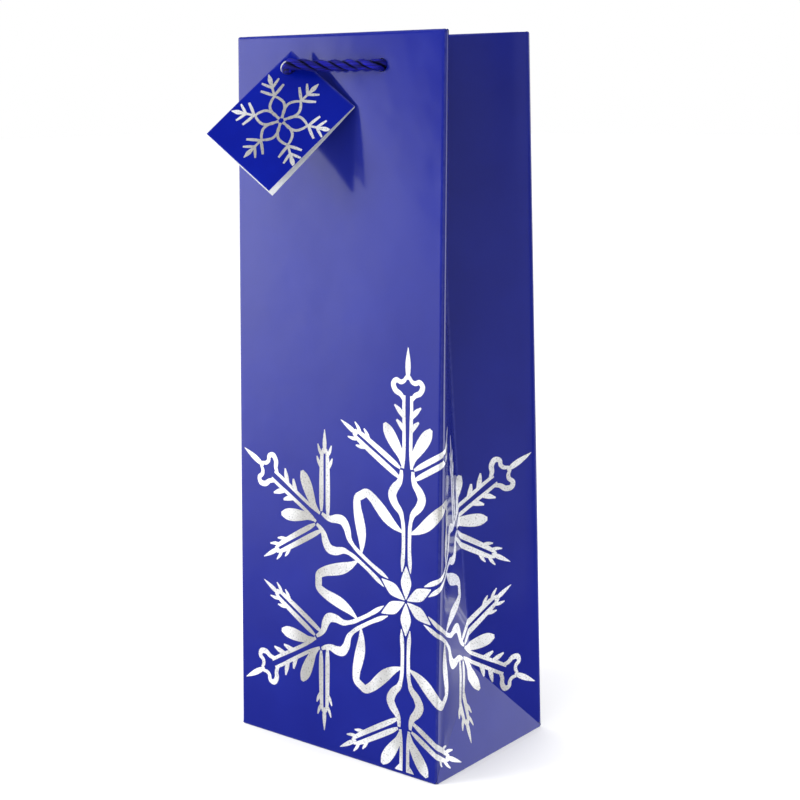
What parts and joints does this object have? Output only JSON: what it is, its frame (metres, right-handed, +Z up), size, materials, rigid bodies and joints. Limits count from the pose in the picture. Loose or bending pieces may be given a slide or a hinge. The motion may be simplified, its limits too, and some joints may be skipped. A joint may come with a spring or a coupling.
{
  "type": "wine gift bag",
  "caption": "Tall square-bottomed gift bag of glossy blue paper with twisted rope handles, a silver snowflake and a folded gift tag.",
  "frame": {"origin": "centre of the base, on the surface the bag stands on", "axes": "+Z up, the front panel with the tag faces -Y, +X to the right seen from the front"},
  "size_m": [0.127, 0.1204, 0.3498],
  "materials": {
    "laminated_paper": "gloss",
    "grey_card": "matte",
    "rope": "satin",
    "tag_card": "gloss",
    "silver_foil": "satin"
  },
  "bodies": {
    "bag_base": {"front_bottom_flap": "laminated_paper", "rear_bottom_flap": "laminated_paper", "left_bottom_tuck": "laminated_paper", "right_bottom_tuck": "laminated_paper", "base_board": "grey_card", "left_base_triangle": "laminated_paper", "right_base_triangle": "laminated_paper", "right_gusset_front_half": "laminated_paper", "right_gusset_rear_half": "laminated_paper", "left_gusset_front_half": "laminated_paper", "left_gusset_rear_half": "laminated_paper", "right_gusset_front_hem": "laminated_paper", "right_gusset_rear_hem": "laminated_paper", "left_gusset_front_hem": "laminated_paper", "left_gusset_rear_hem": "laminated_paper"},
    "front_side": {"front_panel": "laminated_paper", "front_hem": "laminated_paper", "front_stiffener": "grey_card", "front_handle_rope": "rope", "front_left_knot": "rope", "front_right_knot": "rope"},
    "back_side": {"back_panel": "laminated_paper", "back_hem": "laminated_paper", "back_stiffener": "grey_card", "side_seam_flap": "laminated_paper", "back_handle_rope": "rope", "back_left_knot": "rope", "back_right_knot": "rope"},
    "tag_back": {"tag_back_leaf": "tag_card"},
    "tag_cover": {"tag_front_leaf": "tag_card"}
  },
  "joints": [
    {"name": "mouth_front", "type": "hinge", "parent": "bag_base", "child": "front_side", "pos_m": [0, -0.045, 0], "axis": [1, 0, 0], "range_deg": [-3, 1.96], "deforming": ["right_gusset_front_half", "left_gusset_front_half", "right_gusset_front_hem", "left_gusset_front_hem"]},
    {"name": "mouth_back", "type": "hinge", "parent": "bag_base", "child": "back_side", "pos_m": [0, 0.045, 0], "axis": [-1, 0, 0], "range_deg": [-3, 1.96], "deforming": ["right_gusset_rear_half", "left_gusset_rear_half", "right_gusset_rear_hem", "left_gusset_rear_hem"]},
    {"name": "tag_swing", "type": "hinge", "parent": "front_side", "child": "tag_back", "pos_m": [-0.01984, -0.04435, 0.3344], "axis": [-1, 0, 0], "range_deg": [0, 55], "deforming": ["front_handle_rope"]},
    {"name": "tag_open", "type": "hinge", "parent": "tag_back", "child": "tag_cover", "pos_m": [-0.02093, -0.04057, 0.34205], "axis": [-0.786, -0.1283, 0.6048], "range_deg": [0, 100]}
  ],
  "couplings": [
    {"joint": "mouth_back", "follows": "mouth_front", "ratio": 1}
  ]
}
